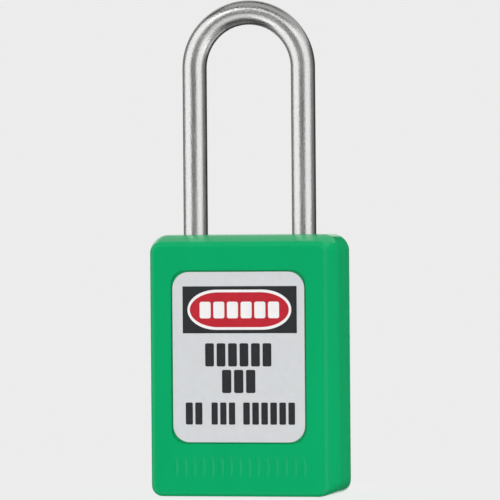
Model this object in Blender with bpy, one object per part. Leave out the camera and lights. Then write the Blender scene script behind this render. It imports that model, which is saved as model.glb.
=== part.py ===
"""Six-pin safety padlock, closed and locked, standing on its bottom face.

Frame: origin at the centre of the bottom face, +X to the heel (long) leg, -Y to the
labelled front, +Z up along the shackle. Blender units are metres.
"""
from math import cos, pi, radians, sin

import bmesh
import bpy
from mathutils import Matrix, Vector

MM = 0.001

# Body
BODY_WIDTH = 35.0 * MM
BODY_DEPTH = 19.0 * MM
BODY_HEIGHT = 47.4 * MM
CORNER_RADIUS = 3.0 * MM
EDGE_RADIUS = 0.5 * MM
SIDE_WALL = 2.7 * MM
FRONT_WALL = 1.9 * MM
TOP_WALL = 1.8 * MM
FIT_GAP = 0.3 * MM

# The body is fullest in the middle of its depth, and draws in towards both broad faces
CROWN_START = 3.5 * MM
CROWN_POWER = 1.5
SIDE_DRAW_IN = 1.2 * MM
TOP_DRAW_IN = 1.5 * MM
BOTTOM_DRAW_IN = 0.15 * MM

# Label and its recess, the same on the front and the back
LABEL_WIDTH = 24.5 * MM
LABEL_LOW = 9.9 * MM
LABEL_HIGH = 40.7 * MM
LABEL_CORNER = 3.1 * MM
LABEL_THICKNESS = 0.25 * MM
LABEL_SET_BACK = 0.1 * MM
RECESS_MARGIN = 0.3 * MM
RECESS_DEPTH = 0.55 * MM

# Shackle
ROD_RADIUS = 2.22 * MM
LEG_X = 10.15 * MM
CROWN_Z = 77.6 * MM
TOE_END = 39.6 * MM
HEEL_END = 25.0 * MM
NECK_RADIUS = 1.65 * MM
NECK_LOW = 27.4 * MM
NECK_HIGH = 38.7 * MM
LEG_BORE_RADIUS = 2.5 * MM

# Latches: flat plates whose noses enter a notch in each leg
LATCH_LOW = 42.05 * MM
LATCH_HIGH = 44.25 * MM
LATCH_BITE = 1.08 * MM
LATCH_SIDE = 4.9 * MM
LATCH_SPLIT = 0.25 * MM
NOTCH_CLEARANCE = 0.27 * MM
NOTCH_TOP_GAP = 0.25 * MM
NOTCH_PLAY = 1.5 * MM
CRANK_RADIUS = 3.0 * MM
CRANK_PIN_RADIUS = 0.9 * MM
CRANK_SLOT_GAP = 0.2 * MM
LATCH_END_WALL = 1.2 * MM

# Bottom cover, plug and cylinder housing
COVER_THICKNESS = 2.0 * MM
KEY_OPENING_RADIUS = 5.3 * MM
PLUG_RADIUS = 5.6 * MM
PLUG_NOSE_RADIUS = 5.0 * MM
PLUG_FACE = 0.5 * MM
PLUG_TOP = 27.6 * MM
GROOVE_RADIUS = 4.6 * MM
GROOVE_LOW = 26.2 * MM
GROOVE_HIGH = 27.0 * MM
RIM_RADIUS = 5.2 * MM
BORE_GAP = 0.15 * MM
KEYWAY_HALF_WIDTH = 0.9 * MM
KEYWAY_TOP = 24.6 * MM
KEYWAY_PIN_SIDE = 4.2 * MM
KEYWAY_BACK_SIDE = 3.6 * MM
HOUSING_HIGH = 28.1 * MM
CLIP_SEAT = 26.0 * MM
CLIP_SEAT_RADIUS = 6.9 * MM
SPRING_BORE_RADIUS = 2.95 * MM
SPRING_BORE_FLOOR = 16.2 * MM

# Pin stacks, one above the other on the toe side of the plug
PIN_COUNT = 6
PIN_PITCH = 3.3 * MM
FIRST_PIN_Z = 5.6 * MM
PIN_RADIUS = 1.2 * MM
CHAMBER_RADIUS = 1.35 * MM
CHAMBER_END = 1.2 * MM
KEY_PIN_LENGTHS = [length * MM for length in (2.6, 3.2, 2.8, 3.5, 3.0, 2.4)]
DRIVER_LENGTH = 3.0 * MM
SHEAR_GAP = 0.2 * MM
PIN_CHAMFER = 0.2 * MM
CAP_FACE = 13.2 * MM

# Tailpiece and latch housing
SHAFT_RADIUS = 1.9 * MM
SHAFT_BORE_RADIUS = 2.2 * MM
DISC_RADIUS = 4.4 * MM
DISC_LOW = 40.4 * MM
DISC_HIGH = 41.6 * MM
CRANK_PIN_TOP = 44.0 * MM
TONGUE_LOW = 26.9 * MM
TONGUE_HIGH = 28.2 * MM
LATCH_HOUSING_LOW = 28.4 * MM
LATCH_HOUSING_HIGH = 44.4 * MM
CHANNEL_FLOOR = 41.85 * MM
CHANNEL_HALF_LENGTH = 9.5 * MM
TOE_BORE_FLOOR = 38.6 * MM
FORK_LOW = 37.4 * MM
FORK_HIGH = 38.1 * MM

OVERCUT = 1.0 * MM
MERGE_DISTANCE = 0.0001 * MM
ROUND_SIDES = 32
SMALL_SIDES = 14

# Worked out from the sizes above
HALF_WIDTH = BODY_WIDTH / 2
HALF_DEPTH = BODY_DEPTH / 2
CAVITY_X = HALF_WIDTH - SIDE_WALL
CAVITY_Y = HALF_DEPTH - FRONT_WALL
CAVITY_TOP = BODY_HEIGHT - TOP_WALL
BLOCK_X = CAVITY_X - FIT_GAP
BLOCK_Y = CAVITY_Y - FIT_GAP
LEG_INNER_X = LEG_X - ROD_RADIUS
CRANK_X = CRANK_RADIUS * cos(radians(45))
CRANK_Y = CRANK_RADIUS * sin(radians(45))
PIN_HEIGHTS = [FIRST_PIN_Z + index * PIN_PITCH for index in range(PIN_COUNT)]

# Colour, roughness, metallic
FINISHES = {
    "green_plastic": ((0.006, 0.386, 0.125), 0.32, 0.0),
    "stainless_rod": ((0.62, 0.62, 0.61), 0.28, 1.0),
    "silver_label": ((0.64, 0.65, 0.67), 0.45, 0.0),
    "white_label": ((0.80, 0.80, 0.78), 0.55, 0.0),
    "black_plastic": ((0.02, 0.02, 0.022), 0.45, 0.0),
    "brass": ((0.70, 0.50, 0.20), 0.30, 1.0),
    "nickel_silver": ((0.60, 0.58, 0.50), 0.30, 1.0),
    "zinc_casting": ((0.45, 0.46, 0.48), 0.50, 1.0),
    "spring_steel": ((0.35, 0.36, 0.38), 0.35, 1.0),
}


# ---------------------------------------------------------------- scene helpers

def clear_scene():
    for old in list(bpy.data.objects):
        bpy.data.objects.remove(old, do_unlink=True)


def finish_material(name):
    """The Principled material of one finish, made once."""
    material = bpy.data.materials.get(name)
    if material:
        return material
    colour, roughness, metallic = FINISHES[name]
    material = bpy.data.materials.new(name)
    material.use_nodes = True
    shader = material.node_tree.nodes["Principled BSDF"]
    shader.inputs["Base Color"].default_value = (*colour, 1.0)
    shader.inputs["Roughness"].default_value = roughness
    shader.inputs["Metallic"].default_value = metallic
    return material


def add_empty(name, location):
    """An empty on a joint's axis, the parent of what that joint moves."""
    empty = bpy.data.objects.new(name, None)
    empty.location = location
    bpy.context.collection.objects.link(empty)
    return empty


def place(obj, finish, parent=None, location=(0.0, 0.0, 0.0), rotation=(0.0, 0.0, 0.0)):
    """Link an object at a world place, held by its parent empty."""
    bpy.context.collection.objects.link(obj)
    offset = Vector(location)
    if parent:
        obj.parent = parent
        offset = offset - parent.location
    obj.location = offset
    obj.rotation_euler = rotation
    if finish and finish_material(finish).name not in obj.data.materials:
        obj.data.materials.append(finish_material(finish))
    return obj


def mesh_from(name, bm, smooth=True):
    """Close the bmesh into a mesh, with round sides smooth and edges sharp."""
    bmesh.ops.recalc_face_normals(bm, faces=bm.faces)
    mesh = bpy.data.meshes.new(name)
    bm.to_mesh(mesh)
    bm.free()
    if smooth:
        mesh.shade_smooth()
        mesh.set_sharp_from_angle(angle=radians(35))
    return mesh


def solid(name, bm, finish, parent=None, origin=(0.0, 0.0, 0.0)):
    """An object from a bmesh in world coordinates, with its origin at the given point."""
    bmesh.ops.translate(bm, verts=bm.verts, vec=-Vector(origin))
    return place(bpy.data.objects.new(name, mesh_from(name, bm)), finish, parent, origin)


def tool(name, bm):
    """A hidden helper solid for a Boolean."""
    helper = place(bpy.data.objects.new(name, mesh_from(name, bm, smooth=False)), None)
    helper.display_type = "WIRE"
    helper.hide_render = True
    return helper


def boolean(obj, helper, operation="DIFFERENCE"):
    modifier = obj.modifiers.new(f"{operation.lower()}_{helper.name}", "BOOLEAN")
    modifier.operation = operation
    modifier.solver = "EXACT"
    modifier.object = helper


# ---------------------------------------------------------------- shape helpers

def box(low, high):
    bm = bmesh.new()
    low = Vector(low)
    high = Vector(high)
    size = high - low
    matrix = Matrix.Translation((low + high) / 2) @ Matrix.Diagonal((*size, 1.0))
    bmesh.ops.create_cube(bm, size=1.0, matrix=matrix)
    return bm


def cylinders(radius, low, high, centres=((0.0, 0.0),), sides=ROUND_SIDES):
    """Upright cylinders at the given (x, y) centres, clear of each other."""
    bm = bmesh.new()
    for x, y in centres:
        matrix = Matrix.Translation((x, y, (low + high) / 2))
        bmesh.ops.create_cone(
            bm, cap_ends=True, segments=sides, radius1=radius, radius2=radius,
            depth=high - low, matrix=matrix,
        )
    return bm


def arc(centre, radius, start, end, steps):
    """Points of an arc in a plane, angles in degrees."""
    points = []
    for step in range(steps + 1):
        angle = radians(start + (end - start) * step / steps)
        points.append((centre[0] + radius * cos(angle), centre[1] + radius * sin(angle)))
    return points


def rounded_rectangle(half_width, low, high, radius, steps):
    """Outline with its four corners rounded, centred on the first axis."""
    right = half_width - radius
    outline = []
    outline += arc((right, low + radius), radius, -90, 0, steps)
    outline += arc((right, high - radius), radius, 0, 90, steps)
    outline += arc((-right, high - radius), radius, 90, 180, steps)
    outline += arc((-right, low + radius), radius, 180, 270, steps)
    return outline


def prism(outline, low, high, along="Z"):
    """Extrude a closed outline along Z, from (x, y) points, or along Y, from (x, z)."""
    def point(a, b, height):
        return (a, b, height) if along == "Z" else (a, height, b)

    bm = bmesh.new()
    base = bm.faces.new([bm.verts.new(point(a, b, low)) for a, b in outline])
    extruded = bmesh.ops.extrude_face_region(bm, geom=[base])["geom"]
    moved = [item for item in extruded if isinstance(item, bmesh.types.BMVert)]
    bmesh.ops.translate(bm, verts=moved, vec=Vector(point(0.0, 0.0, high - low)))
    return bm


def turned(profile, sides):
    """Spin an (r, z) profile that starts and ends on the Z axis."""
    bm = bmesh.new()
    points = [bm.verts.new((r, 0.0, z)) for r, z in profile]
    edges = [bm.edges.new(pair) for pair in zip(points, points[1:])]
    bmesh.ops.spin(
        bm, geom=points + edges, cent=(0.0, 0.0, 0.0), axis=(0.0, 0.0, 1.0),
        angle=2 * pi, steps=sides, use_merge=True, use_duplicate=False,
    )
    bmesh.ops.remove_doubles(bm, verts=bm.verts, dist=MERGE_DISTANCE)
    return bm


def rod_curve(name, points, radius, bevel_resolution):
    """A round rod through (x, y, z, thickness factor) points, with closed ends."""
    curve = bpy.data.curves.new(name, "CURVE")
    curve.dimensions = "3D"
    curve.bevel_depth = radius
    curve.bevel_resolution = bevel_resolution
    curve.use_fill_caps = True
    spline = curve.splines.new("POLY")
    spline.points.add(len(points) - 1)
    for spot, (x, y, z, factor) in zip(spline.points, points):
        spot.co = (x, y, z, 1.0)
        spot.radius = factor
    return curve


def rod_mesh(name, points, radius, bevel_resolution):
    """The same rod as a mesh, so that Booleans can cut it."""
    curve_object = bpy.data.objects.new(name, rod_curve(name, points, radius, bevel_resolution))
    mesh = bpy.data.meshes.new_from_object(curve_object)
    bpy.data.objects.remove(curve_object)
    mesh.name = name
    mesh.shade_smooth()
    mesh.set_sharp_from_angle(angle=radians(35))
    return mesh


def coil_curve(name, coil_radius, wire_radius, length, turns, steps_per_turn):
    """A compression spring up the Z axis whose first and last turns lie nearly flat."""
    flat_turns = 1.0
    flat_rise = 2.4 * wire_radius
    working_turns = turns - 2 * flat_turns
    working_rise = length - 2 * wire_radius - 2 * flat_rise
    points = []
    for step in range(int(turns * steps_per_turn) + 1):
        turn = step / steps_per_turn
        low_part = min(turn, flat_turns) * flat_rise / flat_turns
        working = min(max(turn - flat_turns, 0.0), working_turns)
        high_part = max(turn - flat_turns - working_turns, 0.0) * flat_rise / flat_turns
        z = wire_radius + low_part + working * working_rise / working_turns + high_part
        angle = 2 * pi * turn
        points.append((coil_radius * cos(angle), coil_radius * sin(angle), z, 1.0))
    return rod_curve(name, points, wire_radius, 0)


# ---------------------------------------------------------------- body and labels

def crowned_outline(y):
    """The body's outline at one depth: full in the middle, drawn in towards the faces."""
    beyond = max(abs(y) - CROWN_START, 0.0) / (HALF_DEPTH - CROWN_START)
    side = SIDE_DRAW_IN * beyond ** CROWN_POWER
    top = TOP_DRAW_IN * beyond ** CROWN_POWER
    beyond_wall = max(abs(y) - CAVITY_Y, 0.0) / FRONT_WALL
    bottom = BOTTOM_DRAW_IN * beyond_wall
    radius = CORNER_RADIUS - side
    return rounded_rectangle(HALF_WIDTH - side, bottom, BODY_HEIGHT - top, radius, 5)


def crowned_block():
    """Rings of the outline through the depth, skinned and closed, with rounded rims."""
    steps = (CROWN_START, (CROWN_START + CAVITY_Y) / 2, CAVITY_Y, HALF_DEPTH)
    depths = [-y for y in reversed(steps)] + list(steps)
    bm = bmesh.new()
    rings = []
    for y in depths:
        rings.append([bm.verts.new((x, y, z)) for x, z in crowned_outline(y)])
    for ring, following in zip(rings, rings[1:]):
        for index in range(len(ring)):
            beside = (index + 1) % len(ring)
            bm.faces.new((ring[index], ring[beside], following[beside], following[index]))
    bm.faces.new(rings[0])
    bm.faces.new(rings[-1])
    rim = [edge for edge in bm.edges if all(abs(v.co.y) > HALF_DEPTH - MERGE_DISTANCE for v in edge.verts)]
    bmesh.ops.bevel(
        bm, geom=rim, offset=EDGE_RADIUS, segments=2, profile=0.5, affect="EDGES",
        clamp_overlap=True,
    )
    return bm


def make_body_shell():
    """Moulded body, open at the bottom, with a label recess on each broad face."""
    shell = solid("body_shell", crowned_block(), "green_plastic")
    cavity = box((-CAVITY_X, -CAVITY_Y, -OVERCUT), (CAVITY_X, CAVITY_Y, CAVITY_TOP))
    boolean(shell, tool("cut_cavity", cavity))
    holes = cylinders(
        LEG_BORE_RADIUS, CAVITY_TOP - OVERCUT, BODY_HEIGHT + OVERCUT,
        ((-LEG_X, 0.0), (LEG_X, 0.0)),
    )
    boolean(shell, tool("cut_leg_holes", holes))
    recess_outline = rounded_rectangle(
        LABEL_WIDTH / 2 + RECESS_MARGIN, LABEL_LOW - RECESS_MARGIN,
        LABEL_HIGH + RECESS_MARGIN, LABEL_CORNER + RECESS_MARGIN, 5,
    )
    for side, side_name in ((-1, "front"), (1, "rear")):
        floor = side * (HALF_DEPTH - RECESS_DEPTH)
        outside = side * (HALF_DEPTH + OVERCUT)
        recess = prism(recess_outline, floor, outside, along="Y")
        boolean(shell, tool(f"cut_{side_name}_recess", recess))


def make_label(name, finish, side):
    """Thin label plate in the recess of the front (-1) or the back (+1)."""
    outline = rounded_rectangle(LABEL_WIDTH / 2, LABEL_LOW, LABEL_HIGH, LABEL_CORNER, 5)
    outer = side * (HALF_DEPTH - LABEL_SET_BACK)
    inner = outer - side * LABEL_THICKNESS
    solid(name, prism(outline, inner, outer, along="Y"), finish)


def make_bottom_cover():
    """Plate that closes the body, with the round opening for the key."""
    cover = solid(
        "bottom_cover", box((-BLOCK_X, -BLOCK_Y, 0.0), (BLOCK_X, BLOCK_Y, COVER_THICKNESS)),
        "black_plastic",
    )
    opening = cylinders(KEY_OPENING_RADIUS, -OVERCUT, COVER_THICKNESS + OVERCUT)
    boolean(cover, tool("cut_key_opening", opening))


# ---------------------------------------------------------------- shackle

def make_shackle(slide):
    """Bent rod: short toe leg at -X, long heel leg at +X with a turned neck."""
    arch_steps = 26
    step_back = 0.05 * MM
    end_chamfer = 0.5 * MM
    end_factor = 1 - end_chamfer / ROD_RADIUS
    neck_factor = NECK_RADIUS / ROD_RADIUS
    points = [
        (-LEG_X, 0.0, TOE_END, end_factor),
        (-LEG_X, 0.0, TOE_END + end_chamfer, 1.0),
    ]
    for x, z in arc((0.0, CROWN_Z), LEG_X, 180, 0, arch_steps):
        points.append((x, 0.0, z, 1.0))
    points += [
        (LEG_X, 0.0, NECK_HIGH, 1.0),
        (LEG_X, 0.0, NECK_HIGH - step_back, neck_factor),
        (LEG_X, 0.0, NECK_LOW + step_back, neck_factor),
        (LEG_X, 0.0, NECK_LOW, 1.0),
        (LEG_X, 0.0, HEEL_END + end_chamfer, 1.0),
        (LEG_X, 0.0, HEEL_END, end_factor),
    ]
    points = [(x - LEG_X, y, z - HEEL_END, factor) for x, y, z, factor in points]
    rod = bpy.data.objects.new("shackle", rod_mesh("shackle", points, ROD_RADIUS, 8))
    place(rod, "stainless_rod", slide, (LEG_X, 0.0, HEEL_END))
    for side, side_name in ((-1, "toe"), (1, "heel")):
        boolean(rod, tool(f"cut_{side_name}_notch", notch(side)))


def notch(side):
    """Latch notch in the inner side of a leg, with a ramp below."""
    depth = LATCH_BITE + NOTCH_CLEARANCE
    floor_x = LEG_INNER_X + depth
    open_x = LEG_INNER_X - OVERCUT
    ramp_top = LATCH_LOW + LATCH_BITE + NOTCH_CLEARANCE - NOTCH_PLAY
    ramp_bottom = ramp_top - (floor_x - open_x)
    top = LATCH_HIGH + NOTCH_TOP_GAP
    outline = [
        (side * floor_x, ramp_top),
        (side * floor_x, top),
        (side * open_x, top),
        (side * open_x, ramp_bottom),
    ]
    return prism(outline, -ROD_RADIUS - OVERCUT, ROD_RADIUS + OVERCUT, along="Y")


def make_shackle_spring():
    """Spring under the heel leg, from the floor of its bore to the leg's end."""
    end_gap = 0.15 * MM
    length = HEEL_END - SPRING_BORE_FLOOR - 2 * end_gap
    curve = coil_curve("shackle_spring", 1.9 * MM, 0.3 * MM, length, 7, 14)
    spring = bpy.data.objects.new("shackle_spring", curve)
    place(spring, "spring_steel", None, (LEG_X, 0.0, SPRING_BORE_FLOOR + end_gap))


def make_heel_retaining_clip():
    """Fork pushed in from the heel side, round the neck of the long leg."""
    throat = NECK_RADIUS + 0.2 * MM
    tip_x = 6.9 * MM
    back_x = 14.3 * MM
    arm_y = 4.0 * MM
    outline = [(tip_x, -arm_y), (back_x, -arm_y), (back_x, arm_y), (tip_x, arm_y), (tip_x, throat)]
    outline += arc((LEG_X, 0.0), throat, 90, -90, 10)
    outline += [(tip_x, -throat)]
    solid("heel_retaining_clip", prism(outline, FORK_LOW, FORK_HIGH), "spring_steel")


# ---------------------------------------------------------------- latches

def make_latch(name, side, slide):
    """Sliding plate of the toe (-1) or heel (+1) leg, driven by one crank pin."""
    nose_x = LEG_INNER_X + LATCH_BITE
    slot_half = CRANK_PIN_RADIUS + CRANK_SLOT_GAP
    end_x = CRANK_X - slot_half - LATCH_END_WALL
    nose_profile = [
        (side * end_x, LATCH_LOW),
        (side * (nose_x - LATCH_BITE), LATCH_LOW),
        (side * nose_x, LATCH_LOW + LATCH_BITE),
        (side * nose_x, LATCH_HIGH),
        (side * end_x, LATCH_HIGH),
    ]
    near_y, far_y = sorted((side * LATCH_SPLIT, side * LATCH_SIDE))
    plate = prism(nose_profile, near_y, far_y, along="Y")
    origin = (side * CRANK_X, side * CRANK_Y, LATCH_LOW)
    latch = solid(name, plate, "nickel_silver", slide, origin)
    slot_near = side * (CRANK_Y - slot_half)
    slot_far = side * (CRANK_RADIUS + slot_half)
    slot_y = sorted((slot_near, slot_far))
    slot = box(
        (side * CRANK_X - slot_half, slot_y[0], LATCH_LOW - OVERCUT),
        (side * CRANK_X + slot_half, slot_y[1], LATCH_HIGH + OVERCUT),
    )
    boolean(latch, tool(f"cut_{name}_slot", slot))


def make_latch_housing():
    """Upper block: leg bores, latch channel, tailpiece bore and fork slot."""
    housing = solid(
        "latch_housing",
        box((-BLOCK_X, -BLOCK_Y, LATCH_HOUSING_LOW), (BLOCK_X, BLOCK_Y, LATCH_HOUSING_HIGH)),
        "zinc_casting",
    )
    above = LATCH_HOUSING_HIGH + OVERCUT
    below = LATCH_HOUSING_LOW - OVERCUT
    channel_y = LATCH_SIDE + 0.2 * MM
    fork_gap = 0.2 * MM
    cuts = {
        "tailpiece_bore": cylinders(SHAFT_BORE_RADIUS, below, above),
        "disc_pocket": cylinders(DISC_RADIUS + FIT_GAP, DISC_LOW - FIT_GAP, above),
        "latch_channel": box(
            (-CHANNEL_HALF_LENGTH, -channel_y, CHANNEL_FLOOR),
            (CHANNEL_HALF_LENGTH, channel_y, above),
        ),
        "toe_bore": cylinders(LEG_BORE_RADIUS, TOE_BORE_FLOOR, above, ((-LEG_X, 0.0),)),
        "heel_bore": cylinders(LEG_BORE_RADIUS, below, above, ((LEG_X, 0.0),)),
        "fork_slot": box(
            (6.6 * MM, -4.3 * MM, FORK_LOW - fork_gap),
            (BLOCK_X + OVERCUT, 4.3 * MM, FORK_HIGH + fork_gap),
        ),
        "lightening_pocket": box((-13.0 * MM, -6.2 * MM, below), (-3.8 * MM, 6.2 * MM, 36.8 * MM)),
    }
    for name, cutter in cuts.items():
        boolean(housing, tool(f"cut_{name}", cutter))


def make_latch_cover_plate():
    """Plate over the latch channel, with the two leg holes."""
    low = LATCH_HOUSING_HIGH + FIT_GAP
    high = CAVITY_TOP - FIT_GAP
    plate = solid(
        "latch_cover_plate", box((-BLOCK_X, -BLOCK_Y, low), (BLOCK_X, BLOCK_Y, high)), "zinc_casting",
    )
    holes = cylinders(
        LEG_BORE_RADIUS, low - OVERCUT, high + OVERCUT, ((-LEG_X, 0.0), (LEG_X, 0.0)),
    )
    boolean(plate, tool("cut_plate_holes", holes))


# ---------------------------------------------------------------- plug and tailpiece

def pin_chambers():
    """One cutter with the six chambers, bored through the housing into the plug."""
    bm = bmesh.new()
    outer = BLOCK_X + OVERCUT
    length = outer - CHAMBER_END
    for z in PIN_HEIGHTS:
        matrix = Matrix.Translation((-(outer + CHAMBER_END) / 2, 0.0, z)) @ Matrix.Rotation(pi / 2, 4, "Y")
        bmesh.ops.create_cone(
            bm, cap_ends=True, segments=SMALL_SIDES, radius1=CHAMBER_RADIUS,
            radius2=CHAMBER_RADIUS, depth=length, matrix=matrix,
        )
    return tool("cut_pin_chambers", bm)


def make_plug(turning, chambers):
    """Turning core: nose in the cover, keyway, six pin holes, clip groove, tongue slot."""
    nose_top = COVER_THICKNESS + FIT_GAP
    profile = [
        (0.0, PLUG_TOP),
        (RIM_RADIUS, PLUG_TOP),
        (RIM_RADIUS, GROOVE_HIGH),
        (GROOVE_RADIUS, GROOVE_HIGH),
        (GROOVE_RADIUS, GROOVE_LOW),
        (PLUG_RADIUS, GROOVE_LOW),
        (PLUG_RADIUS, nose_top),
        (PLUG_NOSE_RADIUS, nose_top),
        (PLUG_NOSE_RADIUS, PLUG_FACE),
        (0.0, PLUG_FACE),
    ]
    plug = solid("plug", turned(profile, ROUND_SIDES), "brass", turning)
    keyway = box(
        (-KEYWAY_PIN_SIDE, -KEYWAY_HALF_WIDTH, PLUG_FACE - OVERCUT),
        (KEYWAY_BACK_SIDE, KEYWAY_HALF_WIDTH, KEYWAY_TOP),
    )
    tongue_slot = box(
        (-3.6 * MM, -1.1 * MM, TONGUE_LOW - FIT_GAP),
        (3.6 * MM, 1.1 * MM, PLUG_TOP + OVERCUT),
    )
    boolean(plug, chambers)
    boolean(plug, tool("cut_keyway", keyway))
    boolean(plug, tool("cut_tongue_slot", tongue_slot))


def make_plug_retaining_clip(turning):
    """Open ring in the plug's groove, above the housing."""
    outline = arc((0.0, 0.0), 6.4 * MM, 40, 320, 22)
    outline += arc((0.0, 0.0), GROOVE_RADIUS + BORE_GAP, 320, 40, 22)
    solid("plug_retaining_clip", prism(outline, 26.35 * MM, 26.85 * MM), "spring_steel", turning)


def make_tailpiece(turning):
    """Tongue in the plug's slot, shaft, crank disc and two crank pins."""
    profile = [
        (0.0, DISC_HIGH),
        (DISC_RADIUS, DISC_HIGH),
        (DISC_RADIUS, DISC_LOW),
        (SHAFT_RADIUS, DISC_LOW),
        (SHAFT_RADIUS, TONGUE_HIGH - FIT_GAP),
        (0.0, TONGUE_HIGH - FIT_GAP),
    ]
    tailpiece = solid("tailpiece", turned(profile, ROUND_SIDES), "zinc_casting", turning)
    tongue = box((-3.3 * MM, -0.8 * MM, TONGUE_LOW), (3.3 * MM, 0.8 * MM, TONGUE_HIGH))
    boolean(tailpiece, tool("add_tongue", tongue), "UNION")
    crank_pins = cylinders(
        CRANK_PIN_RADIUS, DISC_LOW + FIT_GAP, CRANK_PIN_TOP,
        ((-CRANK_X, -CRANK_Y), (CRANK_X, CRANK_Y)), SMALL_SIDES,
    )
    boolean(tailpiece, tool("add_crank_pins", crank_pins), "UNION")


# ---------------------------------------------------------------- cylinder housing and pins

def make_cylinder_housing(chambers):
    """Lower block: plug bore, clip seat, pin chambers, heel spring bore, cap recess."""
    low = COVER_THICKNESS + FIT_GAP
    housing = solid(
        "cylinder_housing", box((-BLOCK_X, -BLOCK_Y, low), (BLOCK_X, BLOCK_Y, HOUSING_HIGH)),
        "zinc_casting",
    )
    above = HOUSING_HIGH + OVERCUT
    cuts = {
        "plug_bore": cylinders(PLUG_RADIUS + BORE_GAP, low - OVERCUT, above),
        "clip_seat": cylinders(CLIP_SEAT_RADIUS, CLIP_SEAT, above),
        "spring_bore": cylinders(SPRING_BORE_RADIUS, SPRING_BORE_FLOOR, above, ((LEG_X, 0.0),)),
        "cap_recess": box(
            (-BLOCK_X - OVERCUT, -2.4 * MM, PIN_HEIGHTS[0] - 2.2 * MM),
            (-CAP_FACE + FIT_GAP, 2.4 * MM, PIN_HEIGHTS[-1] + 2.2 * MM),
        ),
    }
    for name, cutter in cuts.items():
        boolean(housing, tool(f"cut_{name}", cutter))
    boolean(housing, chambers)


def make_chamber_cap():
    """Strip over the outer ends of the pin chambers."""
    cap = box(
        (-BLOCK_X, -2.1 * MM, PIN_HEIGHTS[0] - 1.9 * MM),
        (-CAP_FACE, 2.1 * MM, PIN_HEIGHTS[-1] + 1.9 * MM),
    )
    solid("chamber_cap", cap, "brass")


def pin_profile(length, tip):
    """Pin from z = 0 to its length, with a chamfer at both ends, the far one tip long."""
    tip_radius = PIN_RADIUS * 0.45 if tip > PIN_CHAMFER else PIN_RADIUS - PIN_CHAMFER
    return [
        (0.0, length),
        (tip_radius, length),
        (PIN_RADIUS, length - tip),
        (PIN_RADIUS, PIN_CHAMFER),
        (PIN_RADIUS - PIN_CHAMFER, 0.0),
        (0.0, 0.0),
    ]


def make_pin_stacks(turning):
    """Key pin, driver pin and spring of each chamber, at the height a cut key sets."""
    key_pin_start = -PLUG_RADIUS + SHEAR_GAP / 2
    driver_start = -PLUG_RADIUS - SHEAR_GAP
    spring_gap = 0.1 * MM
    spring_start = driver_start - DRIVER_LENGTH - spring_gap
    spring_length = CAP_FACE - spring_gap + spring_start
    to_keyway = (0.0, pi / 2, 0.0)
    to_cap = (0.0, -pi / 2, 0.0)
    driver_mesh = mesh_from("driver_pin", turned(pin_profile(DRIVER_LENGTH, PIN_CHAMFER), SMALL_SIDES))
    spring_curve = coil_curve("pin_spring", 0.92 * MM, 0.14 * MM, spring_length, 6, 10)
    for number, (z, length) in enumerate(zip(PIN_HEIGHTS, KEY_PIN_LENGTHS), start=1):
        key_mesh = mesh_from("key_pin", turned(pin_profile(length, 0.7 * MM), SMALL_SIDES))
        key_pin = bpy.data.objects.new(f"key_pin_{number}", key_mesh)
        place(key_pin, "brass", turning, (key_pin_start, 0.0, z), to_keyway)
        driver = bpy.data.objects.new(f"driver_pin_{number}", driver_mesh)
        place(driver, "nickel_silver", None, (driver_start, 0.0, z), to_cap)
        spring = bpy.data.objects.new(f"pin_spring_{number}", spring_curve)
        place(spring, "spring_steel", None, (spring_start, 0.0, z), to_cap)


# ---------------------------------------------------------------- the padlock

def build():
    clear_scene()
    plug_axis = add_empty("plug_axis", (0.0, 0.0, PLUG_FACE))
    shackle_slide = add_empty("shackle_slide", (LEG_X, 0.0, HEEL_END))
    toe_slide = add_empty("toe_latch_slide", (-CRANK_X, -CRANK_Y, LATCH_LOW))
    heel_slide = add_empty("heel_latch_slide", (CRANK_X, CRANK_Y, LATCH_LOW))

    make_body_shell()
    make_bottom_cover()
    make_label("front_label", "silver_label", -1)
    make_label("rear_label", "white_label", 1)

    make_shackle(shackle_slide)
    make_shackle_spring()
    make_heel_retaining_clip()

    make_latch("toe_latch", -1, toe_slide)
    make_latch("heel_latch", 1, heel_slide)
    make_latch_housing()
    make_latch_cover_plate()

    chambers = pin_chambers()
    make_plug(plug_axis, chambers)
    make_plug_retaining_clip(plug_axis)
    make_tailpiece(plug_axis)
    make_cylinder_housing(chambers)
    make_chamber_cap()
    make_pin_stacks(plug_axis)


build()
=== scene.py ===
"""Looks of the safety padlock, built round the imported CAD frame. Units are metres.

Outside pieces get fine meshes that replace their CAD nodes; the pieces sealed inside keep
their CAD meshes and get their own materials. Small lengths are written in mm, times MM.
"""
from math import cos, pi, radians, sin

import bmesh
import bpy
from mathutils import Matrix, Vector


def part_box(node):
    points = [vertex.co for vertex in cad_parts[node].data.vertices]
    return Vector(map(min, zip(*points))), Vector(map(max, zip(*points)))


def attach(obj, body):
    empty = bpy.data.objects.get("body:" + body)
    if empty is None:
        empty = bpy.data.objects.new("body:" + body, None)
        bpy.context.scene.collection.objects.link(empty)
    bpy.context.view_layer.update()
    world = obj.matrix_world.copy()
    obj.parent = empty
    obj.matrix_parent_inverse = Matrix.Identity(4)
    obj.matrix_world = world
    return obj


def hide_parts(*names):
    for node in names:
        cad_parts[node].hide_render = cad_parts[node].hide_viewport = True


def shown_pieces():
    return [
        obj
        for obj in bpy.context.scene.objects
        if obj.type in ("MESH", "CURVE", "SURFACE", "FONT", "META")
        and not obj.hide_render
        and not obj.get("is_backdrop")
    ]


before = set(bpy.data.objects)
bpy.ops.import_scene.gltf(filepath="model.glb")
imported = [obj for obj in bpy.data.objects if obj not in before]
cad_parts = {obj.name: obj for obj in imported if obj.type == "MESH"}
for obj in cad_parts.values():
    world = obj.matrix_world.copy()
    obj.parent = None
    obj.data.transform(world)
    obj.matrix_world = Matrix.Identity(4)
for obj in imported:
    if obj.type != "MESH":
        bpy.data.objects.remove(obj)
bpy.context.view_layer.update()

MM = 0.001

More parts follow.
